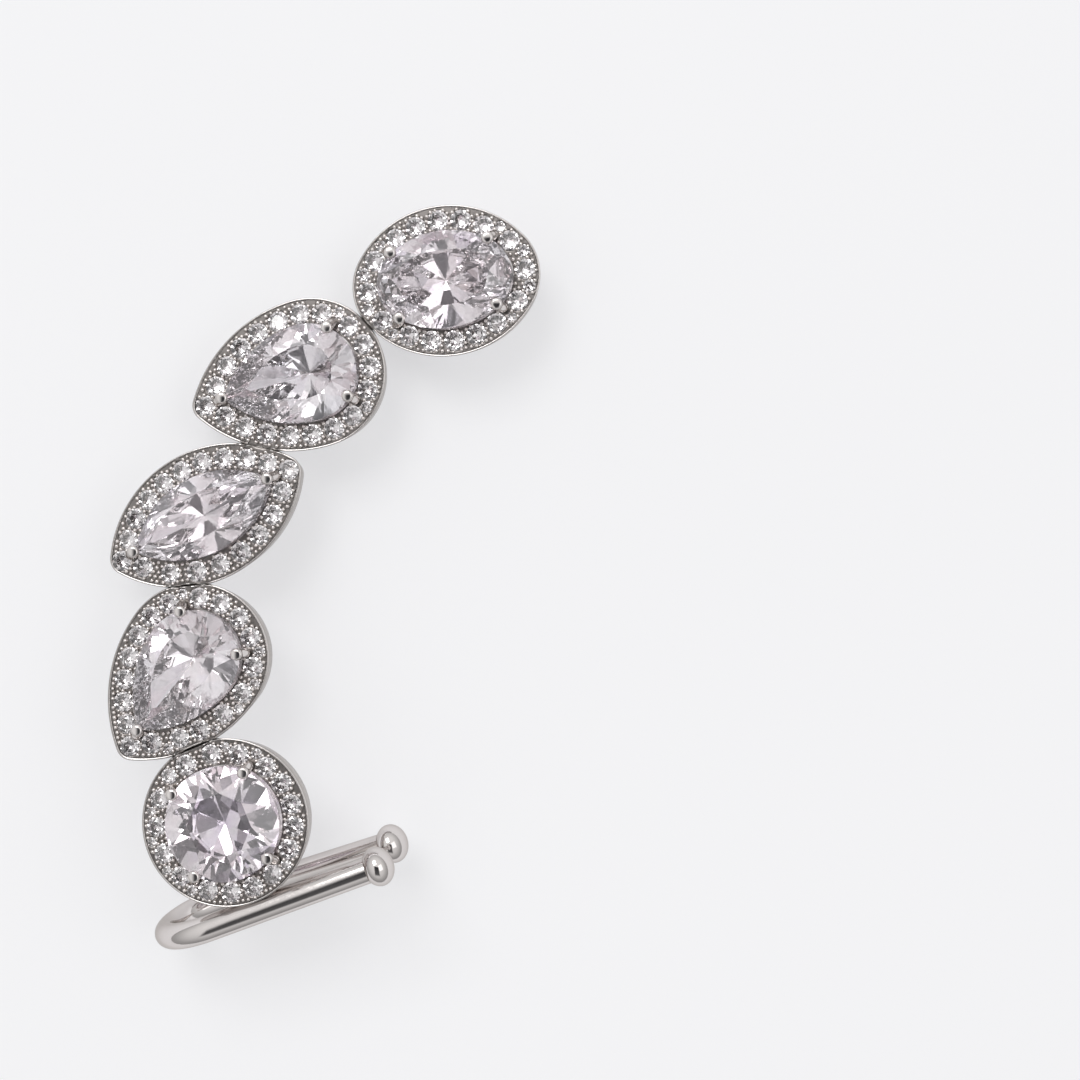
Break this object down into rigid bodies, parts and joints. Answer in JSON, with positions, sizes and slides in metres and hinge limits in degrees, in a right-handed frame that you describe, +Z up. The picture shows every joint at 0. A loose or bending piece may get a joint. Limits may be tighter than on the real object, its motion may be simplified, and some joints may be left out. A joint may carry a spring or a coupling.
{
  "type": "ear cuff",
  "caption": "Ear cuff: a curved row of haloed round, pear, marquise and oval stones in pave settings, with a hairpin wire clip at its low end.",
  "frame": {"origin": "middle of the bounding box in plan, at the height of the surface that the cuff lies on", "axes": "+Y along the row from the clip to the oval setting, +Z up from the surface, with the stones facing up"},
  "size_m": [0.0224, 0.0392, 0.0083],
  "materials": {
    "polished_silver": "polished",
    "pave": "pave set stones in bright metal",
    "clear_stone": "faceted, with a faint lilac tint"
  },
  "bodies": {
    "root": {"cuff_frame": "polished_silver", "halo_round": "pave", "halo_pear_low": "pave", "halo_marquise": "pave", "halo_pear_mid": "pave", "halo_oval": "pave", "stone_round": "clear_stone", "stone_pear_low": "clear_stone", "stone_marquise": "clear_stone", "stone_pear_mid": "clear_stone", "stone_oval": "clear_stone"}
  },
  "joints": []
}
